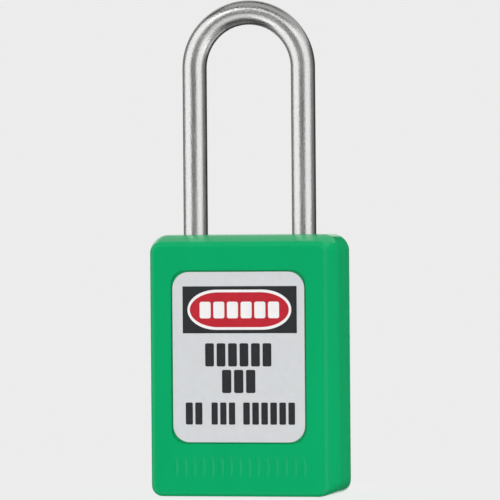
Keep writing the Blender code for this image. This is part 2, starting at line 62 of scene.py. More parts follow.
# Body: fullest in the middle of its depth, drawn in towards both broad faces
CORNER_RADIUS = 3.0 * MM
CORNER_STEPS = 14
CROWN_START = 3.5 * MM
CROWN_POWER = 1.5
SIDE_DRAW_IN = 1.2 * MM
TOP_DRAW_IN = 1.5 * MM
BOTTOM_DRAW_IN = 0.15 * MM
RIM_RADIUS = 0.7 * MM
SIDE_WALL = 2.7 * MM
FRONT_WALL = 1.9 * MM
TOP_WALL = 1.8 * MM
RECESS_MARGIN = 0.28 * MM
RECESS_CORNER = 2.6 * MM
RECESS_DEPTH = 0.4 * MM
LABEL_CORNER = 3.05 * MM
SOFT_EDGE = 0.12 * MM
LEG_HOLE_CLEARANCE = 0.28 * MM

# Grip ribs: a row of shallow hollows in the front, under the label
RIB_COUNT = 15
RIB_PITCH = 1.7 * MM
RIB_HALF_WIDTH = 0.55 * MM
RIB_HALF_HEIGHT = 2.1 * MM
RIB_MIDDLE = 5.4 * MM
RIB_DEPTH = 0.10 * MM

# Shackle details
ROD_SIDES = 56
NOTCH_CLEARANCE = 0.27 * MM
NOTCH_TOP_GAP = 0.25 * MM
NOTCH_PLAY = 1.5 * MM
NECK_RADIUS = 1.65 * MM
NECK_LOW_ABOVE_END = 2.4 * MM
NECK_LENGTH = 11.3 * MM
ROD_END_ROUNDING = 0.6 * MM

# Printing on the labels
INK_LAYER = 0.012 * MM
PRINT_CORNER = 0.05 * MM

# Where most of a noise texture's values lie
NOISE_LOW = 0.3
NOISE_HIGH = 0.7

OVERCUT = 1.0 * MM

# Studio: how bright the room is to matt surfaces, to reflections, and how pale the floor
ROOM_LIGHT = 0.12
ROOM_REFLECTED = 0.03
FLOOR_TONE = 0.84
LAMP_DISTANCE = 1.2

# Name, azimuth (0 in front, 90 to the right of the front), elevation, size, radiance, and
# what it lights: matt surfaces, shiny ones (it shows in their reflections), or all
SOFTBOXES = (
    ("left_softbox", -58.0, 3.0, (1.56, 2.2), 1.38, "all"),
    ("right_softbox", 57.0, 3.0, (1.20, 2.2), 0.93, "all"),
    ("right_edge_softbox", 62.0, 3.0, (1.95, 2.2), 0.38, "all"),
    ("side_bounce", 120.0, 3.0, (1.20, 2.2), 1.40, "matt"),
    ("overhead_bounce", 0.0, 86.0, (1.60, 1.60), 1.0, "matt"),
    ("front_fill", 0.0, 3.0, (1.20, 2.2), 0.20, "all"),
    ("high_front_softbox", 0.0, 38.0, (1.60, 0.38), 1.2, "all"),
    ("table_fill", 0.0, -33.0, (1.60, 0.90), 0.8, "all"),
    ("left_rear_fill", -125.0, 0.0, (1.40, 2.0), 0.22, "all"),
    ("right_rear_fill", 116.0, 0.0, (0.55, 2.0), 0.22, "shiny"),
    ("rear_softbox", 190.0, 36.0, (1.60, 0.60), 0.50, "all"),
    ("rear_low_softbox", 197.0, 0.0, (0.55, 0.90), 0.90, "all"),
    ("overhead_softbox", 0.0, 88.0, (1.60, 1.00), 0.55, "all"),
    ("rear_bounce", 180.0, 10.0, (1.60, 2.00), 0.80, "matt"),
    ("under_fill", 180.0, -80.0, (1.00, 0.80), 0.30, "all"),
    ("low_right_fill", 96.0, -45.0, (1.50, 1.00), 0.60, "shiny"),
    ("high_right_fill", 116.0, 42.0, (1.20, 0.70), 0.50, "shiny"),
)


# ---------------------------------------------------------------- mesh helpers

def box_solid(low, high):
    bm = bmesh.new()
    low = Vector(low)
    high = Vector(high)
    matrix = Matrix.Translation((low + high) / 2) @ Matrix.Diagonal((*(high - low), 1.0))
    bmesh.ops.create_cube(bm, size=1.0, matrix=matrix)
    return bm


def arc(centre, radius, start, end, steps):
    """Points of an arc, angles in degrees; radius is one number or (across, up)."""
    across, up = radius if isinstance(radius, tuple) else (radius, radius)
    points = []
    for step in range(steps + 1):
        angle = radians(start + (end - start) * step / steps)
        points.append((centre[0] + across * cos(angle), centre[1] + up * sin(angle)))
    return points


def circle(centre, radius, sides):
    """Closed outline of a circle."""
    return arc(centre, radius, 0, 360, sides)[:-1]


def rounded_rectangle(left, right, low, high, radius, steps):
    """Outline with its four corners rounded."""
    outline = []
    outline += arc((right - radius, low + radius), radius, -90, 0, steps)
    outline += arc((right - radius, high - radius), radius, 0, 90, steps)
    outline += arc((left + radius, high - radius), radius, 90, 180, steps)
    outline += arc((left + radius, low + radius), radius, 180, 270, steps)
    return outline


def skin(bm, rings):
    """Join rings of equal length with faces, each ring to the next."""
    for ring, following in zip(rings, rings[1:]):
        for index in range(len(ring)):
            beside = (index + 1) % len(ring)
            bm.faces.new((ring[index], ring[beside], following[beside], following[index]))


def prism_into(bm, outline, low, high, along):
    """Add a closed outline extruded along Z, from (x, y) points, or Y, from (x, z)."""
    def point(a, b, height):
        return (a, b, height) if along == "Z" else (a, height, b)

    rings = []
    for height in (low, high):
        rings.append([bm.verts.new(point(a, b, height)) for a, b in outline])
    bm.faces.new(rings[0])
    bm.faces.new(rings[1])
    skin(bm, rings)


def prism(outline, low, high, along="Z"):
    bm = bmesh.new()
    prism_into(bm, outline, low, high, along)
    return bm


def turned(profile, sides):
    """Turn an (r, z) profile that starts and ends on the axis into a solid about Z."""
    bm = bmesh.new()
    rings = []
    for r, z in profile[1:-1]:
        ring = []
        for index in range(sides):
            angle = 2 * pi * index / sides
            ring.append(bm.verts.new((r * cos(angle), r * sin(angle), z)))
        rings.append(ring)
    skin(bm, rings)
    for ring, (_, z) in ((rings[0], profile[0]), (rings[-1], profile[-1])):
        middle = bm.verts.new((0.0, 0.0, z))
        for index in range(sides):
            bm.faces.new((ring[index], ring[(index + 1) % sides], middle))
    return bm


def object_from(name, bm):
    bmesh.ops.recalc_face_normals(bm, faces=bm.faces)
    mesh = bpy.data.meshes.new(name)
    bm.to_mesh(mesh)
    bm.free()
    obj = bpy.data.objects.new(name, mesh)
    bpy.context.collection.objects.link(obj)
    return obj


def cut(obj, bm):
    """Cut a solid with another and apply it at once."""
    cutter = object_from("cutter", bm)
    modifier = obj.modifiers.new("cut", "BOOLEAN")
    modifier.operation = "DIFFERENCE"
    modifier.solver = "EXACT"
    modifier.object = cutter
    apply_modifiers(obj)
    bpy.data.objects.remove(cutter, do_unlink=True)


def apply_modifiers(obj):
    graph = bpy.context.evaluated_depsgraph_get()
    graph.update()
    made = bpy.data.meshes.new_from_object(obj.evaluated_get(graph), depsgraph=graph)
    made.name = obj.name
    obj.modifiers.clear()
    obj.data = made


def soften(obj, width=SOFT_EDGE):
    """Round every crease of the solid by a hair, as moulded and turned edges are."""
    modifier = obj.modifiers.new("soften", "BEVEL")
    modifier.width = width
    modifier.segments = 2
    modifier.limit_method = "ANGLE"
    modifier.angle_limit = radians(40)
    modifier.use_clamp_overlap = False
    modifier.miter_outer = "MITER_ARC"
    apply_modifiers(obj)


def shade(obj, angle=35):
    """Smooth shading that keeps flat faces flat."""
    obj.data.shade_smooth()
    obj.data.set_sharp_from_angle(angle=radians(angle))
    modifier = obj.modifiers.new("flat_faces", "WEIGHTED_NORMAL")
    modifier.keep_sharp = True
    apply_modifiers(obj)


def settle(obj, material, body, slot_name, *nodes):
    """Give a finished piece its material, its body and what it replaces; slot_name is not used."""
    obj.data.materials.clear()
    obj.data.materials.append(material)
    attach(obj, body)
    if nodes:
        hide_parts(*nodes)
    return obj


# ---------------------------------------------------------------- material helpers

class Nodes:
    """A material's node tree with short calls to add and join nodes."""

    def __init__(self, name, base, roughness, metallic=0.0):
        self.material = bpy.data.materials.new(name)
        self.material.use_nodes = True
        self.tree = self.material.node_tree
        self.shader = self.tree.nodes["Principled BSDF"]
        self.shader.inputs["Base Color"].default_value = (*base, 1.0)
        self.shader.inputs["Roughness"].default_value = roughness
        self.shader.inputs["Metallic"].default_value = metallic

    def add(self, kind, **settings):
        node = self.tree.nodes.new(kind)
        for key, value in settings.items():
            setattr(node, key, value)
        return node

    def join(self, output, socket):
        self.tree.links.new(output, socket)

    def math(self, operation, first, second=None):
        node = self.add("ShaderNodeMath", operation=operation)
        for socket, value in zip(node.inputs, (first, second)):
            if isinstance(value, (int, float)):
                socket.default_value = value
            elif value is not None:
                self.join(value, socket)
        return node.outputs["Value"]

    def length(self, first, second):
        """Length of a vector from two of its parts at right angles."""
        squares = [self.math("MULTIPLY", part, part) for part in (first, second)]
        return self.math("SQRT", self.math("ADD", *squares))

    def place(self, scale=(1.0, 1.0, 1.0)):
        """The piece's own coordinates, stretched by scale."""
        coordinates = self.add("ShaderNodeTexCoord")
        mapping = self.add("ShaderNodeMapping")
        mapping.inputs["Scale"].default_value = scale
        self.join(coordinates.outputs["Object"], mapping.inputs["Vector"])
        return mapping.outputs["Vector"]

    def noise(self, vector, scale, detail=2.0):
        node = self.add("ShaderNodeTexNoise")
        node.inputs["Scale"].default_value = scale
        node.inputs["Detail"].default_value = detail
        self.join(vector, node.inputs["Vector"])
        return node.outputs["Fac"]

    def spread(self, value, low, high):
        """Map a noise value to a range of numbers."""
        node = self.add("ShaderNodeMapRange")
        node.inputs["From Min"].default_value = NOISE_LOW
        node.inputs["From Max"].default_value = NOISE_HIGH
        node.inputs["To Min"].default_value = low
        node.inputs["To Max"].default_value = high
        self.join(value, node.inputs["Value"])
        return node.outputs["Result"]

    def tint(self, value, dark, light, start=NOISE_LOW, end=NOISE_HIGH):
        """Colour from a noise value, between two close shades."""
        ramp = self.add("ShaderNodeValToRGB")
        ramp.color_ramp.elements[0].position = start
        ramp.color_ramp.elements[1].position = end
        ramp.color_ramp.elements[0].color = (*dark, 1.0)
        ramp.color_ramp.elements[1].color = (*light, 1.0)
        self.join(value, ramp.inputs["Fac"])
        self.join(ramp.outputs["Color"], self.shader.inputs["Base Color"])

    def rough(self, value):
        self.join(value, self.shader.inputs["Roughness"])

    def bump(self, value, height, strength):
        """Bump of a given height in metres; more than one call stacks them."""
        node = self.add("ShaderNodeBump")
        node.inputs["Strength"].default_value = strength
        node.inputs["Distance"].default_value = height
        self.join(value, node.inputs["Height"])
        old = self.shader.inputs["Normal"].links
        if old:
            self.join(old[0].from_socket, node.inputs["Normal"])
        self.join(node.outputs["Normal"], self.shader.inputs["Normal"])


def scaled(colour, factor):
    return tuple(channel * factor for channel in colour)


# ---------------------------------------------------------------- materials

def green_plastic():
    """Semi-gloss moulded plastic: a faint orange peel, fine grain and soft flow marks."""
    green = (0.001, 0.362, 0.125)
    nodes = Nodes("moulded_green", green, roughness=0.14)
    nodes.shader.inputs["Specular IOR Level"].default_value = 0.15
    place = nodes.place()
    flow = nodes.noise(nodes.place((1.0, 1.0, 0.35)), scale=90.0, detail=3.0)
    nodes.tint(flow, scaled(green, 0.965), scaled(green, 1.03))
    grain = nodes.noise(place, scale=5200.0, detail=2.0)
    peel = nodes.noise(place, scale=700.0, detail=2.0)
    nodes.rough(nodes.spread(grain, low=0.11, high=0.17))
    nodes.bump(peel, height=0.004 * MM, strength=0.5)
    nodes.bump(grain, height=0.0012 * MM, strength=0.6)
    return nodes.material


def steel_rod(leg_x, crown_z):
    """Drawn stainless rod. The grain runs along the rod, through the legs and the arch."""
    steel = (0.60, 0.60, 0.59)
    nodes = Nodes("drawn_stainless", steel, roughness=0.27, metallic=1.0)
    split = nodes.add("ShaderNodeSeparateXYZ")
    nodes.join(nodes.place(), split.inputs["Vector"])
    x, y, z = split.outputs
    above = nodes.math("SUBTRACT", z, crown_z)
    arch_up = nodes.math("MAXIMUM", above, 0.0)
    leg_down = nodes.math("MINIMUM", above, 0.0)
    radial = nodes.length(x, arch_up)
    around = nodes.math("MULTIPLY", nodes.math("ARCTAN2", arch_up, x), leg_x)
    side = nodes.math("SIGN", x)
    along = nodes.math("ADD", around, nodes.math("MULTIPLY", leg_down, side))

    def grain(stretch, scale, detail):
        joined = nodes.add("ShaderNodeCombineXYZ")
        nodes.join(radial, joined.inputs["X"])
        nodes.join(y, joined.inputs["Y"])
        nodes.join(nodes.math("MULTIPLY", along, stretch), joined.inputs["Z"])
        return nodes.noise(joined.outputs["Vector"], scale, detail)

    lines = grain(stretch=0.035, scale=5200.0, detail=3.0)
    specks = grain(stretch=0.8, scale=3400.0, detail=2.0)
    patches = grain(stretch=0.25, scale=260.0, detail=2.0)
    nodes.tint(specks, scaled(steel, 0.92), scaled(steel, 1.03), start=0.34, end=0.60)
    fine = nodes.spread(lines, low=0.20, high=0.34)
    broad = nodes.spread(patches, low=-0.02, high=0.04)
    nodes.rough(nodes.math("ADD", fine, broad))
    nodes.bump(lines, height=0.0030 * MM, strength=0.8)
    nodes.bump(specks, height=0.030 * MM, strength=1.0)
    return nodes.material


def printed_film(name, colour, roughness, shift):
    """Thin printed label film: slight mottling and a very fine tooth."""
    nodes = Nodes(name, colour, roughness)
    nodes.shader.inputs["Specular IOR Level"].default_value = 0.2
    place = nodes.place()
    mottle = nodes.noise(place, scale=900.0, detail=2.0)
    nodes.tint(mottle, scaled(colour, 1.0 - shift), scaled(colour, 1.0 + shift))
    tooth = nodes.noise(place, scale=9000.0, detail=1.0)
    nodes.rough(nodes.spread(tooth, low=roughness - 0.05, high=roughness + 0.05))
    nodes.bump(mottle, height=0.0015 * MM, strength=0.5)
    return nodes.material


def matt_black():
    """Fine spark-textured black plastic."""
    black = (0.018, 0.019, 0.020)
    nodes = Nodes("spark_textured_black", black, roughness=0.5)
    place = nodes.place()
    spark = nodes.noise(place, scale=3200.0, detail=3.0)
    nodes.tint(nodes.noise(place, scale=160.0), scaled(black, 0.85), scaled(black, 1.2))
    nodes.rough(nodes.spread(spark, low=0.42, high=0.6))
    nodes.bump(spark, height=0.008 * MM, strength=0.7)
    return nodes.material


def turned_brass(name):
    """Turned brass: fine rings round the axis, with slight tarnish."""
    brass = (0.68, 0.47, 0.17)
    nodes = Nodes(name, brass, roughness=0.28, metallic=1.0)
    split = nodes.add("ShaderNodeSeparateXYZ")
    nodes.join(nodes.place(), split.inputs["Vector"])
    x, y, z = split.outputs
    radius = nodes.length(x, y)
    ring = nodes.add("ShaderNodeCombineXYZ")
    nodes.join(radius, ring.inputs["X"])
    nodes.join(z, ring.inputs["Z"])
    rings = nodes.noise(ring.outputs["Vector"], scale=7000.0, detail=2.0)
    tarnish = nodes.noise(nodes.place(), scale=320.0, detail=3.0)
    nodes.tint(tarnish, scaled(brass, 0.78), scaled(brass, 1.06))
    turning = nodes.spread(rings, low=0.2, high=0.34)
    dulling = nodes.spread(tarnish, low=0.05, high=-0.03)
    nodes.rough(nodes.math("ADD", turning, dulling))
    nodes.bump(rings, height=0.003 * MM, strength=0.8)
    return nodes.material


def cast_zinc():
    """Die-cast zinc: dull, slightly mottled, with a fine skin."""
    zinc = (0.42, 0.43, 0.45)
    nodes = Nodes("die_cast_zinc", zinc, roughness=0.5, metallic=1.0)
    place = nodes.place()
    skin = nodes.noise(place, scale=1500.0, detail=4.0)
    flow = nodes.noise(place, scale=140.0, detail=2.0)
    nodes.tint(flow, scaled(zinc, 0.82), scaled(zinc, 1.1))
    nodes.rough(nodes.spread(skin, low=0.42, high=0.6))
    nodes.bump(skin, height=0.006 * MM, strength=0.8)
    return nodes.material


def ground_metal(name, colour, roughness, direction):
    """Ground or drawn metal with its scratches along one direction of the piece."""
    nodes = Nodes(name, colour, roughness, metallic=1.0)
    scratches = nodes.noise(nodes.place(direction), scale=5200.0, detail=3.0)
    nodes.tint(nodes.noise(nodes.place(), scale=420.0), scaled(colour, 0.88), scaled(colour, 1.08))
    nodes.rough(nodes.spread(scratches, low=roughness - 0.08, high=roughness + 0.1))
    nodes.bump(scratches, height=0.003 * MM, strength=0.8)
    return nodes.material


def pale_floor():
    """Pale seamless floor, part lit and part glowing, that a camera below it sees through."""
    pale = (0.30, 0.30, 0.30)
    nodes = Nodes("pale_floor", pale, roughness=0.9)
    nodes.shader.inputs["Specular IOR Level"].default_value = 0.0
    nodes.shader.inputs["Emission Color"].default_value = (1.0, 1.0, 1.0, 1.0)
    nodes.shader.inputs["Emission Strength"].default_value = FLOOR_TONE - pale[0] * ROOM_LIGHT
    nodes.tint(nodes.noise(nodes.place(), scale=3.0), scaled(pale, 0.998), scaled(pale, 1.002))
    clear = nodes.add("ShaderNodeBsdfTransparent")
    geometry = nodes.add("ShaderNodeNewGeometry")
    mix = nodes.add("ShaderNodeMixShader")
    output = nodes.tree.nodes["Material Output"]
    nodes.join(geometry.outputs["Backfacing"], mix.inputs["Fac"])
    nodes.join(nodes.shader.outputs["BSDF"], mix.inputs[1])
    nodes.join(clear.outputs["BSDF"], mix.inputs[2])
    nodes.join(mix.outputs["Shader"], output.inputs["Surface"])
    return nodes.material


# ---------------------------------------------------------------- body

def crowned_outline(y, inset, low, high):
    """The body's outline at one depth, brought in a further inset by the rounded rim."""
    beyond = max(abs(y) - CROWN_START, 0.0) / (high.y - CROWN_START)
    side = SIDE_DRAW_IN * beyond ** CROWN_POWER + inset
    top = TOP_DRAW_IN * beyond ** CROWN_POWER + inset
    beyond_wall = max(abs(y) - (high.y - FRONT_WALL), 0.0) / FRONT_WALL
    bottom = BOTTOM_DRAW_IN * beyond_wall + inset
    return rounded_rectangle(
        low.x + side, high.x - side, low.z + bottom, high.z - top,
        CORNER_RADIUS - side, CORNER_STEPS,
    )


def crowned_block(low, high):
    """Rings of the outline through the depth, skinned and closed, with rounded rims."""
    crown_steps = 12
    rim_steps = 8
    rim_start = high.y - RIM_RADIUS
    stations = []
    for step in range(crown_steps):
        stations.append((CROWN_START + (rim_start - CROWN_START) * step / crown_steps, 0.0))
    for step in range(rim_steps + 1):
        angle = pi / 2 * step / rim_steps
        stations.append((rim_start + RIM_RADIUS * sin(angle), RIM_RADIUS * (1 - cos(angle))))
    stations = [(-y, inset) for y, inset in reversed(stations)] + stations
    bm = bmesh.new()
    rings = []
    for y, inset in stations:
        outline = crowned_outline(y, inset, low, high)
        rings.append([bm.verts.new((x, y, z)) for x, z in outline])
    skin(bm, rings)
    bm.faces.new(rings[0])
    bm.faces.new(rings[-1])
    return bm


def body_shell(material, label_box, legs):
    """Moulded shell: crowned sides, label recesses, leg holes, ribs, hollow inside."""
    low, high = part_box("body_shell")
    shell = object_from("body_shell_moulding", crowned_block(low, high))
    label_low, label_high = label_box
    recess = rounded_rectangle(
        label_low.x - RECESS_MARGIN, label_high.x + RECESS_MARGIN,
        label_low.z - RECESS_MARGIN, label_high.z + RECESS_MARGIN,
        RECESS_CORNER, CORNER_STEPS,
    )
    for face_y, inward in ((low.y, 1), (high.y, -1)):
        outside = face_y - inward * OVERCUT
        cut(shell, prism(recess, outside, face_y + inward * RECESS_DEPTH, along="Y"))
    holes = bmesh.new()
    for leg_x, radius in legs:
        outline = circle((leg_x, 0.0), radius, sides=48)
        prism_into(holes, outline, high.z - TOP_WALL - OVERCUT, high.z + OVERCUT, "Z")
    cut(shell, holes)
    soften(shell)
    cut(shell, grip_ribs(low.y))
    cavity_low = (low.x + SIDE_WALL, low.y + FRONT_WALL, low.z - OVERCUT)
    cavity_high = (high.x - SIDE_WALL, high.y - FRONT_WALL, high.z - TOP_WALL)
    cut(shell, box_solid(cavity_low, cavity_high))
    shade(shell)
    return settle(shell, material, "case", "body_plastic", "body_shell")


def grip_ribs(face_y):
    """Cutter for the ribs: flattened balls, four parts outside the face to one inside."""
    bm = bmesh.new()
    first = -(RIB_COUNT - 1) * RIB_PITCH / 2
    outside = 4 * RIB_DEPTH
    spread = 1 / (1 - (4 / 5) ** 2) ** 0.5
    ball = Matrix.Diagonal((
        RIB_HALF_WIDTH * spread, outside + RIB_DEPTH, RIB_HALF_HEIGHT * spread, 1.0,
    ))
    for index in range(RIB_COUNT):
        centre = Matrix.Translation((first + index * RIB_PITCH, face_y - outside, RIB_MIDDLE))
        bmesh.ops.create_icosphere(bm, subdivisions=4, radius=1.0, matrix=centre @ ball)
    return bm


def bottom_cover(material):
    """Cover plate: rounded corners, a dished ring round the key opening, four pads."""
    low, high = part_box("bottom_cover")
    opening = hole_radius("bottom_cover")
    plate_corner = 0.6 * MM
    ring_radius = opening + 1.5 * MM
    ring_depth = 0.3 * MM
    pad_radius = 1.1 * MM
    pad_x = high.x - 2.6 * MM
    pad_y = high.y - 2.4 * MM
    pad_depth = 0.15 * MM
    round_sides = 72
    pad_sides = 24
    outline = rounded_rectangle(low.x, high.x, low.y, high.y, plate_corner, steps=6)
    plate = object_from("bottom_cover_moulding", prism(outline, low.z, high.z))
    below = low.z - OVERCUT
    cut(plate, prism(circle((0.0, 0.0), ring_radius, round_sides), below, low.z + ring_depth))
    cut(plate, prism(circle((0.0, 0.0), opening, round_sides), below, high.z + OVERCUT))
    pads = bmesh.new()
    for x in (-pad_x, pad_x):
        for y in (-pad_y, pad_y):
            pad = circle((x, y), pad_radius, pad_sides)
            prism_into(pads, pad, below, low.z + pad_depth, "Z")
    cut(plate, pads)
    soften(plate)
    shade(plate)
    return settle(plate, material, "case", "cover_plastic", "bottom_cover")


def hole_radius(node):
    """Radius of the round hole about the Z axis of a CAD node."""
    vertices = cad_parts[node].data.vertices
    return min((vertex.co.x ** 2 + vertex.co.y ** 2) ** 0.5 for vertex in vertices)


# ---------------------------------------------------------------- shackle

def rod_path(leg_x, crown_z, toe_end, heel_end, rod_radius):
    """Points (x, z, heading, radius) down the middle of the rod, toe end to heel end."""
    rounding_steps = 5
    arch_steps = 96
    path = []

    def rounded_end(x, end_z, heading, backwards):
        made = []
        for step in range(rounding_steps + 1):
            angle = pi / 2 * step / rounding_steps
            z = end_z + ROD_END_ROUNDING * (1 - cos(angle))
            radius = rod_radius - ROD_END_ROUNDING * (1 - sin(angle))
            made.append((x, z, heading, radius))
        return made[::-1] if backwards else made

    path += rounded_end(-leg_x, toe_end, pi / 2, False)
    for step in range(arch_steps + 1):
        angle = pi - pi * step / arch_steps
        path.append((leg_x * cos(angle), crown_z + leg_x * sin(angle), angle - pi / 2, rod_radius))
    neck_low = heel_end + NECK_LOW_ABOVE_END
    neck_high = neck_low + NECK_LENGTH
    step_back = 0.05 * MM
    for z, radius in (
        (neck_high, rod_radius),
        (neck_high - step_back, NECK_RADIUS),
        (neck_low + step_back, NECK_RADIUS),
        (neck_low, rod_radius),
    ):
        path.append((leg_x, z, -pi / 2, radius))
    path += rounded_end(leg_x, heel_end, -pi / 2, True)
    return path


def swept_rod(path, sides):
    """Rings round every path point, joined into one closed rod."""
    bm = bmesh.new()
    rings = []
    for x, z, heading, radius in path:
        across = Vector((-sin(heading), 0.0, cos(heading)))
        ring = []
        for index in range(sides):
            angle = 2 * pi * index / sides
            offset = across * (radius * cos(angle)) + Vector((0.0, radius * sin(angle), 0.0))
            ring.append(bm.verts.new(Vector((x, 0.0, z)) + offset))
        rings.append(ring)
    skin(bm, rings)
    bm.faces.new(rings[0])
    bm.faces.new(rings[-1])
    return bm


def shackle(material, sizes):
    """Bent rod with a latch notch cut into the inner side of each leg."""
    path = rod_path(*sizes)
    rod = object_from("shackle_rod", swept_rod(path, ROD_SIDES))
    for side, latch in ((-1, "toe_latch"), (1, "heel_latch")):
        cut(rod, latch_notch(side, latch, sizes))
    shade(rod, 30)
    return settle(rod, material, "shackle", "shackle_steel", "shackle")


def latch_notch(side, latch, sizes):
    """Cutter of one notch: floor just past the latch's nose, flat top, 45 degree ramp."""
    low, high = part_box(latch)
    leg_x, rod_radius = sizes[0], sizes[-1]
    inner = leg_x - rod_radius
    floor_x = max(abs(low.x), abs(high.x)) + NOTCH_CLEARANCE
    open_x = inner - OVERCUT
    top = high.z + NOTCH_TOP_GAP
    ramp_top = low.z + (floor_x - inner) - NOTCH_PLAY
    outline = [
        (side * floor_x, ramp_top),
        (side * floor_x, top),
        (side * open_x, top),
        (side * open_x, ramp_top - (floor_x - open_x)),
    ]
    reach = rod_radius + OVERCUT
    return prism(outline, -reach, reach, along="Y")


# ---------------------------------------------------------------- labels

class Label:
    """A label plate on the front (-1) or the back (+1), and the printing on it.

    Across is measured from the label's middle as its reader sees it, down from its top.
    """

    def __init__(self, node, side):
        self.low, self.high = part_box(node)
        self.node = node
        self.side = side
        self.face = self.low.y if side < 0 else self.high.y

    def plate(self, name, material, slot_name):
        outline = rounded_rectangle(
            self.low.x, self.high.x, self.low.z, self.high.z, LABEL_CORNER, CORNER_STEPS,
        )
        made = object_from(name, prism(outline, self.low.y, self.high.y, along="Y"))
        soften(made, 0.05 * MM)
        shade(made)
        return settle(made, material, "case", slot_name, self.node)

    def printed(self, name, material, slot_name, outlines, layer):
        """Ink shapes on the plate; layer 0 lies on the film, 1 on the ink below it."""
        bm = bmesh.new()
        under = self.face + self.side * INK_LAYER * layer
        over = under + self.side * INK_LAYER
        middle = (self.low.x + self.high.x) / 2
        for outline in outlines:
            points = [(middle - self.side * across, self.high.z - down) for across, down in outline]
            prism_into(bm, points, under, over, "Y")
        return settle(object_from(name, bm), material, "case", slot_name)


def oval(centre, size, end_share):
    """A wide oval: flat top and bottom, and elliptical ends taking a share of its length."""
    width, height = size
    end = width * end_share / 2
    half = height / 2
    left = centre[0] - width / 2 + end
    right = centre[0] + width / 2 - end
    end_steps = 28
    outline = arc((right, centre[1]), (end, half), -90, 90, end_steps)
    outline += arc((left, centre[1]), (end, half), 90, 270, end_steps)
    return outline


def word_blocks(start, end, top, height, count, gap):
    """A word shown as plain blocks of equal width, with slightly rounded corners."""
    width = (end - start - gap * (count - 1)) / count
    corner_share = 0.18
    corner = corner_share * min(width, height)
    outlines = []
    for index in range(count):
        left = start + index * (width + gap)
        block = rounded_rectangle(left, left + width, top, top + height, corner, steps=4)
        outlines.append(block)
    return outlines


def front_label(inks):
    """Silver label: an oval heading on a dark panel, then three rows of words."""
    label = Label("front_label", -1)
    label.plate("front_label_film", inks["silver"], "front_label_face")
    panel_middle = 0.26 * MM
    panel_half = 10.6 * MM
    panel_top = 2.6 * MM
    panel_bottom = 11.1 * MM
    panel = rounded_rectangle(
        panel_middle - panel_half, panel_middle + panel_half, panel_top, panel_bottom,
        PRINT_CORNER, steps=2,
    )
    label.printed("label_dark_panel", inks["black"], "front_label_face", [panel], 0)
    oval_middle = (0.21 * MM, 6.85 * MM)
    rim_size = (19.3 * MM, 7.25 * MM)
    field_size = (18.4 * MM, 6.3 * MM)
    rim = oval(oval_middle, rim_size, end_share=0.56)
    label.printed("label_oval_rim", inks["white"], "front_label_face", [rim], 1)
    field = oval(oval_middle, field_size, end_share=0.58)
    label.printed("label_oval_field", inks["red"], "front_label_face", [field], 2)
    heading = word_blocks(
        start=-7.15 * MM, end=7.6 * MM, top=5.4 * MM, height=3.0 * MM, count=6, gap=0.5 * MM,
    )
    label.printed("label_heading_blocks", inks["white"], "front_label_face", heading, 3)
    # Each row's top, height and gap, then the start, end and block count of its words, in mm
    rows = (
        (12.9, 4.2, 0.5, ((-6.2, 6.1, 6),)),
        (17.7, 4.2, 0.5, ((-3.1, 3.1, 3),)),
        (23.6, 4.0, 0.45, ((-9.9, -6.8, 2), (-5.1, -0.7, 3), (0.8, 10.4, 6))),
    )
    words = []
    for top, height, gap, spans in rows:
        for start, end, count in spans:
            words += word_blocks(start * MM, end * MM, top * MM, height * MM, count, gap * MM)
    label.printed("label_word_blocks", inks["black"], "front_label_face", words, 0)


def rear_label(inks):
    """Write-on label: a coloured band and four ruled lines."""
    label = Label("rear_label", 1)
    label.plate("rear_label_film", inks["paper"], "rear_label_face")
    half = 11.0 * MM
    band_top = 2.7 * MM
    band_bottom = 7.2 * MM
    band_corner = 0.8 * MM
    first_line = 12.5 * MM
    line_pitch = 4.6 * MM
    line_thickness = 0.25 * MM
    band = rounded_rectangle(-half, half, band_top, band_bottom, band_corner, steps=6)
    label.printed("rear_label_band", inks["red"], "rear_label_face", [band], 0)
    lines = []
    for index in range(4):
        top = first_line + index * line_pitch
        lines.append(rounded_rectangle(-half, half, top, top + line_thickness, PRINT_CORNER, 2))
    label.printed("rear_label_rules", inks["black"], "rear_label_face", lines, 0)


# ---------------------------------------------------------------- plug

